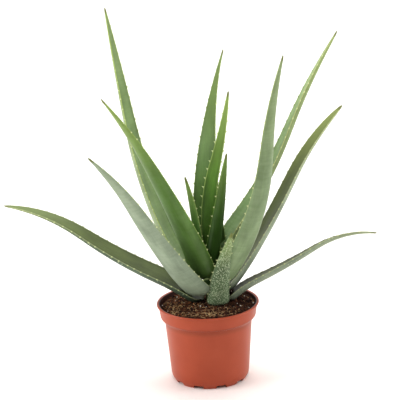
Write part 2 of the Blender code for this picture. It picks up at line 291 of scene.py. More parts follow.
# %% Section and skin
BACK_POINTS = 25
FACE_POINTS = 13
STATION_PITCH = 2.2 * MM
TIP_CROWDING = 1.25  # above 1, the rings stand closer together towards the tip
FULLNESS = 1.3
HEEL = 0.05  # the share of the length over which the heel swells to its full size
HEEL_START = 0.45
CHANNEL = 0.25  # depth of the hollow of the face, as a share of the thickness
HEEL_CAP = 3.2 * MM
CAP_RINGS = (0.0, 0.45, 0.8)
MIN_HALF_WIDTH = 0.25 * MM
MIN_THICKNESS = 0.3 * MM
BLUNT = 1.0 * MM  # half width of the rounded end of a leaf
BLUNT_FROM = 0.985


def size_along(leaf, t):
    """Half width and thickness of the leaf at the fractions t."""
    heel = HEEL_START + (1 - HEEL_START) * np.sqrt(1 - (1 - np.minimum(t / HEEL, 1)) ** 2)
    size = heel * np.maximum(1 - t**FULLNESS, 0) ** leaf.taper
    past = np.maximum((t - BLUNT_FROM) / (1 - BLUNT_FROM), 0)
    blunt = BLUNT * np.sqrt(np.maximum(1 - past**2, 0))
    half_width = np.maximum(np.hypot(leaf.width * MM / 2 * size, blunt), MIN_HALF_WIDTH)
    thickness = np.maximum(np.hypot(leaf.thickness * MM * size, 1.5 * blunt), MIN_THICKNESS)
    return half_width, thickness


def ring_shape(half_width, thickness, t):
    """One crescent: its points, whether each is on the back, and how far each is from a margin."""
    sweep = pi * (1 - np.cos(np.linspace(0, pi, BACK_POINTS))) / 2
    back = np.stack([half_width * np.cos(sweep), -thickness * np.sin(sweep) ** 0.9], 1)
    walked = np.concatenate([[0], np.cumsum(np.linalg.norm(np.diff(back, axis=0), axis=1))])
    back_edge = np.minimum(walked, walked[-1] - walked)
    across = -np.cos(np.linspace(0, pi, FACE_POINTS))[1:-1]
    hollow = CHANNEL * (1 - t) * thickness * (1 - across**2)
    face = np.stack([half_width * across, -hollow], 1)
    face_edge = half_width * (1 - np.abs(across))
    on_back = np.concatenate([np.ones(BACK_POINTS), np.zeros(FACE_POINTS - 2)])
    on_back[[0, BACK_POINTS - 1]] = 0.5
    return np.vstack([back, face]), on_back, np.concatenate([back_edge, face_edge])


def skin_of(leaf):
    """Vertices, quads and the two attributes of one leaf's skin, closed at the heel and the tip."""
    count = int(leaf.length * MM / STATION_PITCH)
    t = 1 - (1 - np.linspace(0, 1, count)) ** TIP_CROWDING
    centre, along, across_axis, up_axis = walk(leaf, t)
    half_width, thickness = size_along(leaf, t)
    points, place, zone = [], [], []
    for k in CAP_RINGS:
        cap_width = half_width[0] * (1 - (1 - k) ** 2) ** 0.5 + 0.1 * MM
        ring, on_back, edge = ring_shape(cap_width, thickness[0], 0)
        middle = np.array([0, -thickness[0] / 2])
        ring = middle + (ring - middle) * np.array([1, max(k, 0.08) ** 0.5])
        offset = centre[0] - along[0] * HEEL_CAP * (1 - k)
        points.append(offset + ring[:, :1] * across_axis[0] + ring[:, 1:] * up_axis[0])
        place.append(np.stack([ring[:, 0], np.full(len(ring), -HEEL_CAP * (1 - k)), on_back], 1))
        zone.append(np.stack([edge + 2 * MM, np.zeros(len(ring)), np.zeros(len(ring))], 1))
    for i in range(count):
        ring, on_back, edge = ring_shape(half_width[i], thickness[i], t[i])
        points.append(centre[i] + ring[:, :1] * across_axis[i] + ring[:, 1:] * up_axis[i])
        place.append(np.stack([ring[:, 0], np.full(len(ring), t[i] * leaf.length * MM), on_back], 1))
        zone.append(np.stack([edge, np.full(len(ring), t[i]), np.zeros(len(ring))], 1))
    size = len(points[0])
    quads = []
    for i in range(len(points) - 1):
        for k in range(size):
            after = (k + 1) % size
            quads.append((i * size + k, i * size + after, (i + 1) * size + after, (i + 1) * size + k))
    last = (len(points) - 1) * size
    caps = [tuple(reversed(range(size))), tuple(range(last, last + size))]
    return np.vstack(points), quads + caps, np.vstack(place), np.vstack(zone)


print("points in the longest skin:", len(skin_of(LEAVES[6])[0]))

# %% [markdown]
# ## Teeth
#
# Pale teeth stand along both margins, about eleven millimetres apart, leaning towards the tip.
# They could be scattered copies of one cone, but a tooth is broad and thin where it leaves the
# margin, so each is built from small ovals that shrink quickly and lean as they rise.

# %% Teeth along the margins
TOOTH_PITCH = 11.3 * MM
TOOTH_HEIGHT = 2.6 * MM
TOOTH_SINK = 0.5 * MM  # how deep a tooth is rooted in the margin
FIRST_TOOTH, FIRST_TOOTH_SPREAD = 14, 8  # from the heel, in millimetres
LAST_TOOTH = 7 * MM  # from the tip
TOOTH_RISES = (0, 0.12, 0.3, 0.5, 0.72, 0.9, 1)
TOOTH_SIDES = 8


def teeth_of(leaf, seed):
    """Vertices, faces and the two attributes of all teeth of one leaf."""
    chance = np.random.default_rng(seed)
    points, faces, place, zone = [], [], [], []
    length = leaf.length * MM
    for side in (-1, 1):
        reached = (FIRST_TOOTH + FIRST_TOOTH_SPREAD * chance.random()) * MM
        while reached < length - LAST_TOOTH:
            t = reached / length
            growth = min(1, 0.55 + 4 * t) * min(1, 0.45 + 2.2 * (1 - t))
            height = TOOTH_HEIGHT * growth * (0.8 + 0.4 * chance.random())
            at = np.array([t])
            half_width = size_along(leaf, at)[0][0]
            centre, along, across_axis, up_axis = (v[0] for v in walk(leaf, at))
            outward = across_axis * side
            root = centre + outward * (half_width - TOOTH_SINK) - up_axis * 0.35 * MM
            first = len(points)
            for rise in TOOTH_RISES:
                middle = root + outward * (height + TOOTH_SINK) * rise
                middle = middle + along * height * 0.55 * rise**1.6 + up_axis * height * 0.12 * rise
                reach_along = (1.6 * MM * growth + 0.2 * MM) * (1 - rise) ** 1.7 + 0.07 * MM
                reach_up = 0.75 * MM * growth * (1 - rise) ** 1.2 + 0.06 * MM
                for k in range(TOOTH_SIDES):
                    turn_by = 2 * pi * k / TOOTH_SIDES
                    ahead_of = along * reach_along * cos(turn_by)
                    points.append(middle + ahead_of + up_axis * reach_up * sin(turn_by))
                    place.append((side * half_width, reached, 0.5))
                    zone.append((0.0, t, rise))
            for i in range(len(TOOTH_RISES) - 1):
                for k in range(TOOTH_SIDES):
                    after = (k + 1) % TOOTH_SIDES
                    low, high = first + i * TOOTH_SIDES, first + (i + 1) * TOOTH_SIDES
                    quad = (low + k, low + after, high + after, high + k)
                    faces.append(quad if side < 0 else quad[::-1])
            reached += TOOTH_PITCH * (0.8 + 0.4 * chance.random()) * (0.85 + 0.3 * t)
    return points, faces, place, zone


print("teeth on", LEAVES[3].name, ":", len(teeth_of(LEAVES[3], 1)[0]) // (len(TOOTH_RISES) * TOOTH_SIDES))

# %% [markdown]
# ## From numbers to a piece
#
# Every part becomes one mesh object, smooth shaded, that rides on the imported body. Where it refines
# an imported node, it stands for that node.

# %% Make a piece
def make_piece(name, points, faces, finish, stands_for=()):
    """Makes one visible piece with its finish, rides it on the root body and hides the imported nodes it
    stands for.
    """
    mesh = bpy.data.meshes.new(name)
    mesh.from_pydata([tuple(map(float, p)) for p in points], [], faces)
    mesh.validate()
    mesh.shade_smooth()
    mesh.materials.append(finish)
    piece = bpy.data.objects.new(name, mesh)
    bpy.context.scene.collection.objects.link(piece)
    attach(piece, "root")
    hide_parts(*stands_for)
    return piece


def remember(piece, name, values):
    """Stores one vector per point, for a finish to read."""
    layer = piece.data.attributes.new(name, "FLOAT_VECTOR", "POINT")
    layer.data.foreach_set("vector", np.asarray(values, np.float32).ravel())


# %% [markdown]
# ## Aloe skin
#
# The real finish is a waxy cuticle over green flesh. The cuticle is smooth and gives a broad soft
# shine. Old leaves carry bloom, a powdery wax that turns them grey and dull. Fine fibres run along
# the leaf, pale specks dot young and outer leaves, the margin is a yellowish line, and the tip dries
# to brown. Painting this on an image would fix its size; noise in the leaf's own across and along
# distances keeps every mark at its real size on every leaf.

# %% Aloe skin finish
# foot is the share of brightness that painted shade leaves at a leaf's foot; 1 leaves it as it is.
Skin = namedtuple("Skin", "face back bloom_colour bloom_face bloom_back specks tip margin gloss foot")

# How often a pattern repeats in a metre: across the leaf, along it, and from the face to the back.
FIBRE_RATE = (700, 25, 3)
PATCH_RATE = (70, 28, 3)
CREASE_RATE = (45, 330, 3)
SPECK_RATE = (950, 620, 7)
PATCH_SHIFT = 40  # times the leaf's length, so that no two lengths get the same patches
DRY_TIP = 5 * MM
DRY_FADE = 4 * MM


def aloe_skin(name, skin, length):
    """The finish of one leaf, whose length is in metres."""
    finish, tree, shader = new_finish(name, IOR=1.45, Specular_IOR_Level=0.3)
    place = node(tree, "ShaderNodeAttribute", attribute_name="place").outputs["Vector"]
    on_back = node(tree, "ShaderNodeSeparateXYZ", {"Vector": place}).outputs["Z"]
    zone = node(tree, "ShaderNodeAttribute", attribute_name="zone").outputs["Vector"]
    edge, tipward, tooth = node(tree, "ShaderNodeSeparateXYZ", {"Vector": zone}).outputs

    def repeated(rate):
        made = node(tree, "ShaderNodeVectorMath", {0: place, 1: rate}, operation="MULTIPLY")
        return made.outputs["Vector"]

    def cloudy(vector, detail):
        inputs = {"Vector": vector, "Scale": 1.0, "Detail": detail}
        return node(tree, "ShaderNodeTexNoise", inputs).outputs["Fac"]

    # Fibres: about 1.4 mm apart across the leaf and 40 mm long.
    fibres = cloudy(repeated(FIBRE_RATE), 3)
    # Patches: cloudy areas about 14 mm wide and 36 mm long.
    shift = (length * PATCH_SHIFT, 0, 0)
    shifted = node(tree, "ShaderNodeVectorMath", {0: repeated(PATCH_RATE), 1: shift}, operation="ADD")
    patches = cloudy(shifted.outputs["Vector"], 5)
    # Creases: faint bands across the leaf, about 3 mm apart.
    creases = cloudy(repeated(CREASE_RATE), 3)

    flesh = blended(tree, on_back, colour(skin.face), colour(skin.back))
    mottle = ranged(tree, patches, 0.3, 0.7, 0.7, 1.13)
    streak = ranged(tree, fibres, 0.3, 0.7, 0.9, 1.1)
    value = reckoned(tree, "MULTIPLY", mottle, streak)
    # Painted shade: the foot of a leaf, clasped by its neighbours, is darkened to the skin's foot share.
    darkening = ranged(tree, tipward, 0.02, 0.32, skin.foot, 1.0, interpolation_type="SMOOTHSTEP")
    value = reckoned(tree, "MULTIPLY", value, darkening)
    # Groove: on the face, the flesh inside each margin is thin and darker, up to 5 mm from it.
    groove = ranged(tree, edge, 1.5 * MM, 5.0 * MM, 0.72, 1.0, interpolation_type="SMOOTHSTEP")
    lit = reckoned(tree, "MAXIMUM", groove, on_back)
    value = reckoned(tree, "MULTIPLY", value, lit)
    varied = node(tree, "ShaderNodeHueSaturation", {"Color": flesh, "Value": value}).outputs["Color"]
    ripe = ranged(tree, tipward, 0.45, 1.0, 0.0, 0.75, interpolation_type="SMOOTHSTEP")
    ripened = blended(tree, ripe, varied, colour(skin.tip))

    # Bloom: powdery wax, more of it in some patches and bands than in others.
    powder = ranged(tree, on_back, 0.0, 1.0, skin.bloom_face, skin.bloom_back)
    cloud = ranged(tree, patches, 0.25, 0.7, 0.55, 1.25)
    band = ranged(tree, creases, 0.3, 0.7, 0.8, 1.2)
    bloom = reckoned(tree, "MULTIPLY", powder, cloud)
    # The painted shade at the foot thins the bloom too.
    bloom = reckoned(tree, "MULTIPLY", bloom, darkening)
    bloom = reckoned(tree, "MULTIPLY", bloom, band, use_clamp=True)
    bloomed = blended(tree, bloom, ripened, colour(skin.bloom_colour))

    # Specks: pale cells on the back, about 0.8 mm wide and 1.3 mm long, in a share of the places.
    cells = node(tree, "ShaderNodeTexVoronoi", {"Vector": repeated(SPECK_RATE), "Scale": 1.0,
                                                "Randomness": 1.0})
    pick = node(tree, "ShaderNodeSeparateColor", {"Color": cells.outputs["Color"]})
    chosen = reckoned(tree, "LESS_THAN", pick.outputs["Red"], skin.specks)
    dot = ranged(tree, cells.outputs["Distance"], 0.28, 0.5, 0.75, 0.0)
    dot = reckoned(tree, "MULTIPLY", dot, chosen)
    dot = reckoned(tree, "MULTIPLY", dot, on_back)
    specked = blended(tree, dot, bloomed, colour("#c3cfae"))

    # Margin, teeth with their brown points, and the dried tip.
    rim = ranged(tree, edge, 0.4 * MM, 1.2 * MM, 0.6, 0.0)
    rimmed = blended(tree, rim, specked, colour(skin.margin))
    ivory = ranged(tree, tooth, 0.05, 0.4)
    toothed = blended(tree, ivory, rimmed, colour("#d3dba6"))
    point = ranged(tree, tooth, 0.72, 0.95, 0.0, 0.8)
    pointed = blended(tree, point, toothed, colour("#a58a55"))
    dry_from = 1 - DRY_TIP / length
    dry = ranged(tree, tipward, dry_from - DRY_FADE / length, dry_from, 0.0, 0.85)
    dried = blended(tree, dry, pointed, colour("#6f7440"))
    tree.links.new(dried, shader.inputs["Base Color"])

    dull = ranged(tree, bloom, 0.0, 1.0, skin.gloss, skin.gloss + 0.25)
    tree.links.new(dull, shader.inputs["Roughness"])
    places = node(tree, "ShaderNodeTexCoord").outputs["Object"]
    grit = node(tree, "ShaderNodeTexNoise", {"Vector": places, "Scale": 900, "Detail": 2})
    height = reckoned(tree, "ADD", fibres, grit.outputs["Fac"])
    roughen(tree, shader, height, 0.35, 0.12 * MM)
    return finish


# %% [markdown]
# ## One finish for each leaf
#
# Leaves of one plant differ with age and light: the young centre ones are bright and shiny, the
# outer ones are olive or grey with bloom. Each leaf gets its own values instead of one shared green.

# %% Finishes by leaf
BLOOM = "#b9c4ae"
SKINS = {
    "centre_small": Skin("#648f3c", "#5a8433", BLOOM, 0.08, 0.08, 0.0, "#8aa055", "#a9bd6a", 0.38, 0.9),
    # This leaf's very dark green is partly its own colour and partly painted shade from the leaves in
    # front of it.
    "centre_third": Skin("#35590f", "#335613", BLOOM, 0.02, 0.03, 0.0, "#7c984c", "#86a355", 0.36, 0.85),
    "centre_second": Skin("#5f8a2c", "#567c28", BLOOM, 0.03, 0.06, 0.0, "#96ab62", "#b0c674", 0.38, 0.95),
    "left_middle": Skin("#5d822f", "#587f2c", BLOOM, 0.06, 0.1, 0.0, "#8c9f50", "#a2b964", 0.34, 0.7),
    # Here the face carries more bloom than the back: partly real bloom, partly a painted reflection for
    # the pale sheen of the face.
    "right_back": Skin("#668d30", "#76884a", BLOOM, 0.3, 0.22, 0.0, "#93a65a", "#ccd38e", 0.4, 0.8),
    "centre_tall": Skin("#547430", "#52722f", BLOOM, 0.05, 0.1, 0.0, "#738740", "#8fa55c", 0.42, 1.0),
    "left_tall": Skin("#6f8f40", "#93a474", BLOOM, 0.22, 0.34, 0.0, "#728a40", "#b6cc66", 0.38, 1.0),
    "right_front": Skin("#5c773a", "#667f4c", BLOOM, 0.15, 0.26, 0.0, "#7e9158", "#a9b981", 0.42, 1.05),
    "right_middle": Skin("#58652a", "#87947c", BLOOM, 0.02, 0.36, 0.0, "#9aa562", "#c4caa0", 0.42, 0.68),
    "left_second": Skin("#56693f", "#74866e", BLOOM, 0.15, 0.36, 0.0, "#76866a", "#a3b082", 0.45, 0.95),
    "right_low": Skin("#525a2c", "#6a7862", BLOOM, 0.03, 0.32, 0.05, "#8d9768", "#b5bd90", 0.45, 0.62),
    "left_low": Skin("#5a682c", "#445a42", BLOOM, 0.03, 0.12, 0.04, "#7d8d50", "#b4bd8c", 0.42, 0.58),
    "front_small": Skin("#4c5f38", "#455e3b", "#a9b598", 0.12, 0.15, 0.8, "#93a866", "#9fae80", 0.5, 0.92),
}
print("finishes:", len(SKINS))

# %% Grow the leaves
FIRST_SEED = 100

for number, leaf in enumerate(LEAVES):
    finish = aloe_skin("aloe_skin_" + leaf.name, SKINS[leaf.name], leaf.length * MM)
    points, faces, place, zone = skin_of(leaf)
    tooth_points, tooth_faces, tooth_place, tooth_zone = teeth_of(leaf, FIRST_SEED + number)
    shift = len(points)
    faces = faces + [tuple(shift + k for k in face) for face in tooth_faces]
    blade = make_piece("blade_" + leaf.name, np.vstack([points, tooth_points]), faces, finish,
                       ["leaf_" + leaf.name])
    remember(blade, "place", np.vstack([place, tooth_place]))
    remember(blade, "zone", np.vstack([zone, tooth_zone]))

# %% [markdown]
# ## Pot
#
# The pot is injection-moulded polypropylene. A lathe is how such a round form is drawn: one profile
# of wall, band and lip is turned round the axis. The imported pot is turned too, in fewer steps; this
# one has 240, so that a long highlight runs down it without facets. The drain slots at the foot are
# cut with an exact Boolean, because they have to leave clean corners.

# %% Turn the pot
TURN_STEPS = 240
# Radii and heights of the profile, in millimetres.
BEAD_CENTRE, BEAD_BEND = (58.9, 92.4), 1.1
SHOULDER_CENTRE, SHOULDER_BEND = (51.5, 79.5), 4.8
FLOOR_TOP = 4.5


def arc(radius, height, bend, start, end, count):
    """Profile points (radius, height) on an arc of a given bend, between two angles in degrees."""
    angles = np.radians(np.linspace(start, end, count))
    return [(radius + bend * cos(a), height + bend * sin(a)) for a in angles]


inner_wall = [(39.4, FLOOR_TOP), (40.2, 4.7), (44.7, 10), (49.7, 70.5), (54.7, 77), (56.7, 92.9)]
lip = arc(*BEAD_CENTRE, BEAD_BEND, 90, -80, 14)
band = [(58.1, 90.9), *arc(*SHOULDER_CENTRE, SHOULDER_BEND, 0, -80, 16)]
body = [(51.6, 73.8), (51.1, 71), (46, 9), (45.1, 5), (43, 1.2), (42.2, 0)]
foot = [(40.5, 0), (40, 3), (15, 3), (14, 0), (0, 0)]
profile = [(0, FLOOR_TOP), *inner_wall, *lip, *band, *body, *foot]

points = [(0, 0, profile[0][1] * MM)]
for radius, height in profile[1:-1]:
    for k in range(TURN_STEPS):
        spin = 2 * pi * k / TURN_STEPS
        points.append((radius * MM * cos(spin), radius * MM * sin(spin), height * MM))
points.append((0, 0, 0))
last = len(points) - 1
faces = [(0, 1 + k, 1 + (k + 1) % TURN_STEPS) for k in range(TURN_STEPS)]
for i in range(len(profile) - 3):
    a, b = 1 + i * TURN_STEPS, 1 + (i + 1) * TURN_STEPS
    for k in range(TURN_STEPS):
        after = (k + 1) % TURN_STEPS
        faces.append((a + k, b + k, b + after, a + after))
a = last - TURN_STEPS
faces += [(a + k, last, a + (k + 1) % TURN_STEPS) for k in range(TURN_STEPS)]
print("pot profile points:", len(profile))

# %% [markdown]
# ## Moulded polypropylene
#
# The plastic is coloured right through. It has a satin skin with very faint flow marks from the mould
# and a little dust that lightens it where it turns away. The inside of the lip is darker, and painted
# shade darkens the crease under the band.

# %% Moulded polypropylene
pot_plastic, tree, shader = new_finish("moulded_polypropylene", IOR=1.49, Specular_IOR_Level=0.4,
                                       Sheen_Weight=0.03, Sheen_Roughness=0.5)
places = node(tree, "ShaderNodeTexCoord")
cloud = node(tree, "ShaderNodeTexNoise", {"Vector": places.outputs["Object"], "Scale": 35, "Detail": 4})
flow = node(tree, "ShaderNodeValToRGB", {"Fac": cloud.outputs["Fac"]})
flow.color_ramp.elements[0].position = 0.3
flow.color_ramp.elements[0].color = colour("#a24729")
flow.color_ramp.elements[1].position = 0.7
flow.color_ramp.elements[1].color = colour("#aa4e30")
place = node(tree, "ShaderNodeSeparateXYZ", {"Vector": places.outputs["Object"]})
flat = node(tree, "ShaderNodeVectorMath", {0: places.outputs["Object"], 1: (1, 1, 0)},
            operation="MULTIPLY")
out_from_axis = node(tree, "ShaderNodeVectorMath", {0: flat.outputs["Vector"]}, operation="LENGTH")
edge_noise = node(tree, "ShaderNodeMath", {0: cloud.outputs["Fac"], 1: 1.6 * MM,
                                           2: out_from_axis.outputs["Value"]}, operation="MULTIPLY_ADD")
# The inside of the lip, and the inner wall above 80 mm, are darker.
inside = ranged(tree, edge_noise.outputs["Value"], 57.4 * MM, 58.2 * MM, 0.92, 0.0)
high = ranged(tree, place.outputs["Z"], 92.3 * MM, 92.9 * MM)
above = reckoned(tree, "MULTIPLY", inside, high)
# Beside the band, the inner wall leans out by 0.13 mm in each millimetre of height, so taking that
# off the radius tells it from the outer wall.
lean = node(tree, "ShaderNodeMath", {0: place.outputs["Z"], 1: -0.13, 2: out_from_axis.outputs["Value"]},
            operation="MULTIPLY_ADD")
within = ranged(tree, lean.outputs["Value"], 45.25 * MM, 45.5 * MM, 0.92, 0.0)
blotch = reckoned(tree, "MAXIMUM", above, within)
deep = reckoned(tree, "GREATER_THAN", place.outputs["Z"], 80 * MM)
blotch = reckoned(tree, "MULTIPLY", blotch, deep)
blotched = blended(tree, blotch, flow.outputs["Color"], colour("#3a1a12"))
# Painted shade: the colour darkens in the crease under the band, from 66 to 79.5 mm up.
crease = ranged(tree, place.outputs["Z"], 66 * MM, 72 * MM, 1.0, 0.82, interpolation_type="SMOOTHSTEP")
clear = ranged(tree, place.outputs["Z"], 75.5 * MM, 79.5 * MM, 0.0, 0.18,
               interpolation_type="SMOOTHSTEP")
crease_shade = reckoned(tree, "ADD", crease, clear, use_clamp=True)
crease_shaded = node(tree, "ShaderNodeHueSaturation", {"Color": blotched, "Value": crease_shade})
tree.links.new(crease_shaded.outputs["Color"], shader.inputs["Base Color"])
shine = ranged(tree, cloud.outputs["Fac"], 0.0, 1.0, 0.34, 0.44)
tree.links.new(shine, shader.inputs["Roughness"])
skin = node(tree, "ShaderNodeTexNoise", {"Vector": places.outputs["Object"], "Scale": 700, "Detail": 2})
roughen(tree, shader, skin.outputs["Fac"], 0.12, 0.1 * MM)

# %% Cut the drain slots
DRAINS = 10
FIRST_DRAIN = -74  # degrees round the axis
# Cutters, in millimetres: the slot from the axis outwards, across and up, then the hole.
SLOT_REACH, SLOT_SIDES, SLOT_HEIGHTS = (38.75, 47.25), (-6, 6), (-2, 3.9)
HOLE_REACH, HOLE_RADIUS, HOLE_HEIGHTS, HOLE_STEPS = 34, 3.5, (-2, 8), 24
SHARP_FROM = radians(32)

pot = make_piece("nursery_pot", points, faces, pot_plastic, ["pot"])
box_corners = [(x, y, z) for x in SLOT_REACH for y in SLOT_SIDES for z in SLOT_HEIGHTS]
box_faces = [(0, 1, 3, 2), (4, 6, 7, 5), (0, 4, 5, 1), (2, 3, 7, 6), (0, 2, 6, 4), (1, 5, 7, 3)]
points, faces = [], []
for number in range(DRAINS):
    spin = Matrix.Rotation(radians(FIRST_DRAIN + number * 360 / DRAINS), 3, "Z")
    faces += [tuple(len(points) + k for k in face) for face in box_faces]
    points += [spin @ Vector(corner) * MM for corner in box_corners]
    first = len(points)
    second = first + HOLE_STEPS
    for z in HOLE_HEIGHTS:
        for k in range(HOLE_STEPS):
            turn_by = 2 * pi * k / HOLE_STEPS
            place = Vector((HOLE_REACH + HOLE_RADIUS * cos(turn_by), HOLE_RADIUS * sin(turn_by), z))
            points.append(spin @ place * MM)
    faces += [tuple(reversed(range(first, second))), tuple(range(second, second + HOLE_STEPS))]
    for k in range(HOLE_STEPS):
        after = (k + 1) % HOLE_STEPS
        faces.append((first + k, first + after, second + after, second + k))
cutter_mesh = bpy.data.meshes.new("drain_cutters")
cutter_mesh.from_pydata([tuple(p) for p in points], [], faces)
cutter = bpy.data.objects.new("drain_cutters", cutter_mesh)
bpy.context.scene.collection.objects.link(cutter)
slots = pot.modifiers.new("drain_slots", "BOOLEAN")
slots.operation = "DIFFERENCE"
slots.solver = "EXACT"
slots.object = cutter
carved = bpy.data.meshes.new_from_object(pot.evaluated_get(bpy.context.evaluated_depsgraph_get()))
pot.modifiers.clear()
pot.data = carved
bpy.data.objects.remove(cutter)
carved.shade_smooth()
carved.set_sharp_from_angle(angle=SHARP_FROM)

# %% [markdown]
# ## Potting mix
#
# The mix is peat and coconut coir: a dark bed of crumbs, with chips, straw-coloured fibres and a
# little white perlite on top. A displaced disc alone looks like mud, so the bed is a displaced disc
# and the chips, fibres and perlite are real little bodies lying on it.

# %% Bed of potting mix
soil_low, soil_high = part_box("soil")
BED_RADIUS = (soil_high.x - soil_low.x) / 2 - 0.2 * MM
BED_EDGE = 90.0 * MM
BED_SWELL = 3.0 * MM
BED_TILT_FORWARD, BED_TILT_RIGHT = 2.4 * MM, 1.2 * MM
HEAP_X, HEAP_Y, HEAP_HEIGHT, HEAP_SPREAD = 0.026, 0.014, 11 * MM, 9 * MM
BED_RINGS, BED_SPOKES = 60, 150


def bed_height(x, y):
    """Height of the bed's surface at a place."""
    out = (x * x + y * y) ** 0.5 / BED_RADIUS
    swell = BED_SWELL * (1 - out**2) - BED_TILT_FORWARD * y / BED_RADIUS + BED_TILT_RIGHT * x / BED_RADIUS
    heap = HEAP_HEIGHT * np.exp(-((x - HEAP_X) ** 2 + (y - HEAP_Y) ** 2) / (2 * HEAP_SPREAD**2))
    lumps = noise.fractal(Vector((x, y, 0)) * 130, 1.0, 2.1, 3) * 1.5 * MM
    crumbs = noise.fractal(Vector((x, y, 0.3)) * 520, 0.8, 2.1, 3) * 0.8 * MM
    return BED_EDGE + swell + heap + lumps + crumbs


points = [(0, 0, bed_height(0, 0))]
for i in range(1, BED_RINGS + 1):
    reach = BED_RADIUS * i / BED_RINGS
    for k in range(BED_SPOKES):
        turn_by = 2 * pi * k / BED_SPOKES
        x, y = reach * cos(turn_by), reach * sin(turn_by)
        points.append((x, y, bed_height(x, y)))
faces = [(0, 1 + k, 1 + (k + 1) % BED_SPOKES) for k in range(BED_SPOKES)]
for i in range(BED_RINGS - 1):
    a, b = 1 + i * BED_SPOKES, 1 + (i + 1) * BED_SPOKES
    for k in range(BED_SPOKES):
        after = (k + 1) % BED_SPOKES
        faces.append((a + k, b + k, b + after, a + after))

peat, tree, shader = new_finish("peat_and_coir", Roughness=0.95, Specular_IOR_Level=0.25)
places = node(tree, "ShaderNodeTexCoord")
crumb = node(tree, "ShaderNodeTexVoronoi", {"Vector": places.outputs["Object"], "Scale": 420})
pick = node(tree, "ShaderNodeSeparateColor", {"Color": crumb.outputs["Color"]})
tone = node(tree, "ShaderNodeValToRGB", {"Fac": pick.outputs["Red"]})
tone.color_ramp.elements[0].color = colour("#1a0a05")
tone.color_ramp.elements[1].color = colour("#6b3a22")
middle_tone = tone.color_ramp.elements.new(0.6)
middle_tone.color = colour("#34180d")
tree.links.new(tone.outputs["Color"], shader.inputs["Base Color"])
grain = node(tree, "ShaderNodeTexNoise", {"Vector": places.outputs["Object"], "Scale": 800, "Detail": 4})
roughen(tree, shader, grain.outputs["Fac"], 0.8, 0.6 * MM)
make_piece("bed_of_mix", points, faces, peat, ["soil"])
print("bed rises to", round(max(p[2] for p in points) / MM, 1), "mm")

# %% [markdown]
# ## Chips, fibres and perlite
#
# Each chip is a small uneven block, each fibre a thin bent strand, each perlite grain a knobbly
# ball. They are joined into one mesh per kind, and each one remembers a tone for its finish.

# %% Scatter helpers
def on_bed(chance, straw):
    """A random place on the bed; the more straw, the more it keeps to the front rim."""
    while True:
        x, y = chance.uniform(-1, 1, 2) * (BED_RADIUS - 1.5 * MM)
        out = (x * x + y * y) ** 0.5
        if out > BED_RADIUS - 1.5 * MM:
            continue
        frontness = max(-y / BED_RADIUS * 0.5 + 0.45 - x / BED_RADIUS * 0.25, 0)
        if chance.random() < 1 - straw + straw * frontness**1.6 * (0.3 + 0.7 * out / BED_RADIUS):
            return x, y


def turned(chance, flatness):
    """A random turn that mostly keeps a body lying down."""
    heading = Matrix.Rotation(chance.uniform(0, 2 * pi), 3, "Z")
    roll = Matrix.Rotation(chance.normal() * flatness, 3, "X")
    return heading @ roll @ Matrix.Rotation(chance.normal() * flatness, 3, "Y")


def scatter_finish(name, dark, light, roughness):
    """A finish between two colours, chosen by each body's own tone."""
    finish, tree, shader = new_finish(name, Roughness=roughness, Specular_IOR_Level=0.3)
    tone = node(tree, "ShaderNodeAttribute", attribute_name="tone")
    places = node(tree, "ShaderNodeTexCoord")
    blotch = node(tree, "ShaderNodeTexNoise", {"Vector": places.outputs["Object"], "Scale": 900,
                                              "Detail": 3})
    parts = node(tree, "ShaderNodeSeparateXYZ", {"Vector": tone.outputs["Vector"]})
    mixed = blended(tree, parts.outputs["X"], colour(dark), colour(light))
    value = ranged(tree, blotch.outputs["Fac"], 0.0, 1.0, 0.6, 1.4)
    blotched = node(tree, "ShaderNodeHueSaturation", {"Color": mixed, "Value": value})
    tree.links.new(blotched.outputs["Color"], shader.inputs["Base Color"])
    roughen(tree, shader, blotch.outputs["Fac"], 0.6, 0.3 * MM)
    return finish


def scattered_piece(name, bodies, finish):
    """Joins (points, faces, tone) bodies into one piece."""
    points, faces, tones = [], [], []
    for body_points, body_faces, tone in bodies:
        faces += [tuple(len(points) + k for k in face) for face in body_faces]
        points += body_points
        tones += [(tone, 0, 0)] * len(body_points)
    piece = make_piece(name, points, faces, finish)
    remember(piece, "tone", tones)
    return piece


BLOCK_CORNERS = [(x, y, z) for z in (-1, 1) for x, y in ((-1, -1), (1, -1), (1, 1), (-1, 1))]
BLOCK_FACES = [(0, 3, 2, 1), (4, 5, 6, 7), (0, 1, 5, 4), (1, 2, 6, 5), (2, 3, 7, 6), (3, 0, 4, 7)]

# %% Bark and coir chips
CHIPS = 1400

chance = np.random.default_rng(7)
bodies = []
for _ in range(CHIPS):
    x, y = on_bed(chance, 0.15)
    sides = [chance.uniform(1.0, 4.2), chance.uniform(0.7, 2.0), chance.uniform(0.4, 1.2)]
    size = np.array(sides) * MM / 2
    turn = turned(chance, 0.5)
    corners = []
    for sx, sy, sz in BLOCK_CORNERS:
        uneven = chance.uniform(0.55, 1.15, 3)
        corner = Vector((sx * size[0] * uneven[0], sy * size[1] * uneven[1], sz * size[2] * uneven[2]))
        corner = turn @ corner
        corners.append(tuple(corner + Vector((x, y, bed_height(x, y) + 0.5 * size[2]))))
    # Chips are darker in tone towards the right, from x = -20 mm to 30 mm.
    darkening = 1 - 0.65 * min(max((x + 0.02) / 0.05, 0), 1)
    bodies.append((corners, BLOCK_FACES, float(chance.beta(1.0, 3.0)) * darkening))
chips = scattered_piece("bark_chips", bodies, scatter_finish("composted_bark", "#2c130a", "#b87a4c", 0.9))
chips.data.shade_flat()
print("chips:", len(bodies))

# %% Straw fibres
FIBRES = 340
FIBRE_ROWS, FIBRE_SIDES = 8, 5

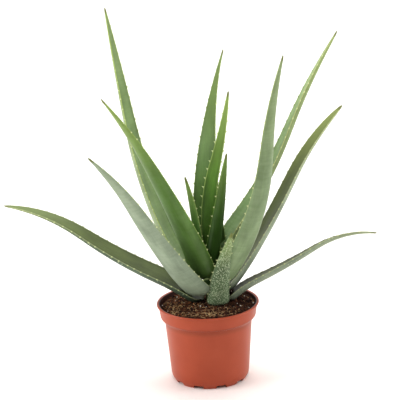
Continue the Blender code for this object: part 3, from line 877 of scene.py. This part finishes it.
bodies = []
for _ in range(FIBRES):
    x, y = on_bed(chance, 0.95)
    heading = chance.uniform(0, 2 * pi)
    length = chance.uniform(2.5, 7) * MM
    bend = chance.normal() * 0.9
    thick = chance.uniform(0.12, 0.26) * MM
    lift = chance.uniform(0.2, 1.1) * MM
    strand, faces, here = [], [], Vector((x, y, 0))
    for i in range(FIBRE_ROWS):
        share = i / (FIBRE_ROWS - 1)
        angle = heading + bend * (share - 0.5)
        step = Vector((cos(angle), sin(angle), 0))
        side = Vector((-sin(angle), cos(angle), 0))
        here = here + step * length / (FIBRE_ROWS - 1)
        if here.length > BED_RADIUS - 1 * MM:
            break
        height = bed_height(here.x, here.y) + lift + 0.8 * MM * sin(pi * share)
        middle = Vector((here.x, here.y, height))
        for k in range(FIBRE_SIDES):
            turn_by = 2 * pi * k / FIBRE_SIDES
            rise = Vector((0, 0, thick * sin(turn_by)))
            strand.append(tuple(middle + side * thick * cos(turn_by) + rise))
    rows = len(strand) // FIBRE_SIDES
    if rows < 3:
        continue
    for i in range(rows - 1):
        low, high = i * FIBRE_SIDES, (i + 1) * FIBRE_SIDES
        for k in range(FIBRE_SIDES):
            after = (k + 1) % FIBRE_SIDES
            faces.append((low + k, low + after, high + after, high + k))
    first_end, last_end = range(FIBRE_SIDES), range((rows - 1) * FIBRE_SIDES, rows * FIBRE_SIDES)
    faces += [tuple(reversed(first_end)), tuple(last_end)]
    bodies.append((strand, faces, float(chance.beta(1.0, 1.2))))
scattered_piece("straw_fibres", bodies, scatter_finish("coir_fibre", "#512a14", "#eccb98", 0.8))
print("fibres:", len(bodies))

# %% Perlite grains
GRAINS = 26
GRAIN_ROWS, GRAIN_SIDES = 5, 7

bodies = []
for _ in range(GRAINS):
    x, y = on_bed(chance, 0.3)
    radius = chance.uniform(0.5, 1.1) * MM
    grain_points, faces = [], []
    for i in range(GRAIN_ROWS):
        for k in range(GRAIN_SIDES):
            polar, round_by = pi * (i + 0.5) / GRAIN_ROWS, 2 * pi * k / GRAIN_SIDES
            knob = radius * chance.uniform(0.75, 1.15)
            grain_points.append((x + knob * sin(polar) * cos(round_by),
                                 y + knob * sin(polar) * sin(round_by),
                                 bed_height(x, y) + 0.4 * radius + knob * cos(polar)))
    for i in range(GRAIN_ROWS - 1):
        low, high = i * GRAIN_SIDES, (i + 1) * GRAIN_SIDES
        for k in range(GRAIN_SIDES):
            after = (k + 1) % GRAIN_SIDES
            faces.append((low + k, high + k, high + after, low + after))
    last_row = (GRAIN_ROWS - 1) * GRAIN_SIDES
    faces += [tuple(range(GRAIN_SIDES)), tuple(reversed(range(last_row, last_row + GRAIN_SIDES)))]
    bodies.append((grain_points, faces, float(chance.random())))
scattered_piece("perlite_grains", bodies, scatter_finish("perlite", "#cfc4b4", "#f4efe6", 0.9))
print("perlite grains:", len(bodies))

# %% [markdown]
# ## Stem and sheath
#
# The leaves clasp a short stem that hardly shows. Its skin is pale green to tan, ringed where older
# leaves have come away. One leaf's sheath shows in front as a pale rim around the stem.

# %% Stem
stem_skin, tree, shader = new_finish("stem_cuticle", Roughness=0.6, IOR=1.45)
places = node(tree, "ShaderNodeTexCoord")
ringed = node(tree, "ShaderNodeMapping", {"Vector": places.outputs["Object"], "Scale": (60, 60, 420)})
scars = node(tree, "ShaderNodeTexNoise", {"Vector": ringed.outputs["Vector"], "Scale": 1.0, "Detail": 4})
tone = node(tree, "ShaderNodeValToRGB", {"Fac": scars.outputs["Fac"]})
tone.color_ramp.elements[0].position = 0.3
tone.color_ramp.elements[0].color = colour("#2f3d1a")
tone.color_ramp.elements[1].position = 0.7
tone.color_ramp.elements[1].color = colour("#6d7a45")
tree.links.new(tone.outputs["Color"], shader.inputs["Base Color"])
roughen(tree, shader, scars.outputs["Fac"], 0.5, 0.5 * MM)

STEM_ROWS, STEM_SIDES = 46, 40
STEM_SCARS = 9
points, faces = [], []
for i in range(STEM_ROWS):
    share = i / (STEM_ROWS - 1)
    centre = STEM_FOOT.lerp(STEM_HEAD, share * 1.08 - 0.08)
    scar = 0.5 * MM * abs(sin(share * STEM_SCARS * pi)) ** 0.5
    radius = (9.6 - 2.2 * share**3) * MM + scar - 0.6 * MM
    if i == STEM_ROWS - 1:
        radius = 3 * MM
    for k in range(STEM_SIDES):
        turn_by = 2 * pi * k / STEM_SIDES
        points.append(centre + Vector((cos(turn_by), sin(turn_by), 0)) * radius)
for i in range(STEM_ROWS - 1):
    low, high = i * STEM_SIDES, (i + 1) * STEM_SIDES
    for k in range(STEM_SIDES):
        after = (k + 1) % STEM_SIDES
        faces.append((low + k, low + after, high + after, high + k))
top_row = (STEM_ROWS - 1) * STEM_SIDES
faces += [tuple(reversed(range(STEM_SIDES))), tuple(range(top_row, top_row + STEM_SIDES))]
make_piece("stem_core", points, faces, stem_skin, ["stem"])
print("stem core points:", len(points))

# %% [markdown]
# ## Sheath
#
# The base of an old leaf wraps a quarter round the stem as a green sheath with a pale rim. It is a
# curved strip with a little thickness; a flat ribbon would vanish when seen edge on. It takes the
# aloe skin too, because it is the same living skin.

# %% Sheath
# In millimetres and degrees.
SHEATH_REACH = 13.0
SHEATH_DEPTH = 13.0
SHEATH_WALL = 0.9
SHEATH_START, SHEATH_SWEEP = -150, 92
SHEATH_TOP, SHEATH_RISE = 122.0, 6.5
SHEATH_STEPS = 40
# The strip's outline: how far through the wall, and how far down.
SHEATH_OUTLINE = [(0, 1.0), (0, 0.6), (0, 0.3), (0, 0.08), (0.35, 0.0), (0.75, 0.0),
                  (1, 0.08), (1, 0.4), (1, 1.0)]

points, faces, place, zone = [], [], [], []
for i in range(SHEATH_STEPS + 1):
    share = i / SHEATH_STEPS
    spin = radians(SHEATH_START + SHEATH_SWEEP * share)
    top = SHEATH_TOP + SHEATH_RISE * share + 0.3 * sin(share * 23)
    for depth_in, down in SHEATH_OUTLINE:
        radius = SHEATH_REACH - SHEATH_WALL * depth_in
        height = (top - SHEATH_DEPTH * down) * MM
        points.append((radius * MM * cos(spin) - MM, radius * MM * sin(spin), height))
        place.append((down * SHEATH_DEPTH * MM, radius * MM * (spin + pi), 0.3))
        zone.append((down * SHEATH_DEPTH * 0.45 * MM, 0.1, 0.0))
width = len(SHEATH_OUTLINE)
for i in range(SHEATH_STEPS):
    low, high = i * width, (i + 1) * width
    for k in range(width):
        after = (k + 1) % width
        faces.append((low + k, high + k, high + after, low + after))
far_end = SHEATH_STEPS * width
faces += [tuple(range(width)), tuple(reversed(range(far_end, far_end + width)))]
sheath_skin = Skin("#3c6420", "#3c6420", BLOOM, 0.05, 0.05, 0.0, "#3c6420", "#cfe39a", 0.45, 1.0)
sheath_finish = aloe_skin("aloe_skin_sheath", sheath_skin, 0.04)
sheath = make_piece("sheath_rim", points, faces, sheath_finish)
remember(sheath, "place", place)
remember(sheath, "zone", zone)
print("sheath points:", len(points))

# %% [markdown]
# ## Roots
#
# The roots lie hidden in the mix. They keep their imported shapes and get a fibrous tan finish.

# %% Roots
root_skin, tree, shader = new_finish("root_bark", Roughness=0.8)
places = node(tree, "ShaderNodeTexCoord")
fibrous = node(tree, "ShaderNodeTexNoise", {"Vector": places.outputs["Object"], "Scale": 500,
                                            "Detail": 4})
tone = node(tree, "ShaderNodeValToRGB", {"Fac": fibrous.outputs["Fac"]})
tone.color_ramp.elements[0].color = colour("#8f6c42")
tone.color_ramp.elements[1].color = colour("#d2b083")
tree.links.new(tone.outputs["Color"], shader.inputs["Base Color"])
for name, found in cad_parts.items():
    if name.startswith("root_"):
        found.data.materials.clear()
        found.data.materials.append(root_skin)
print("roots finished:", sum(name.startswith("root_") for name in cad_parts))
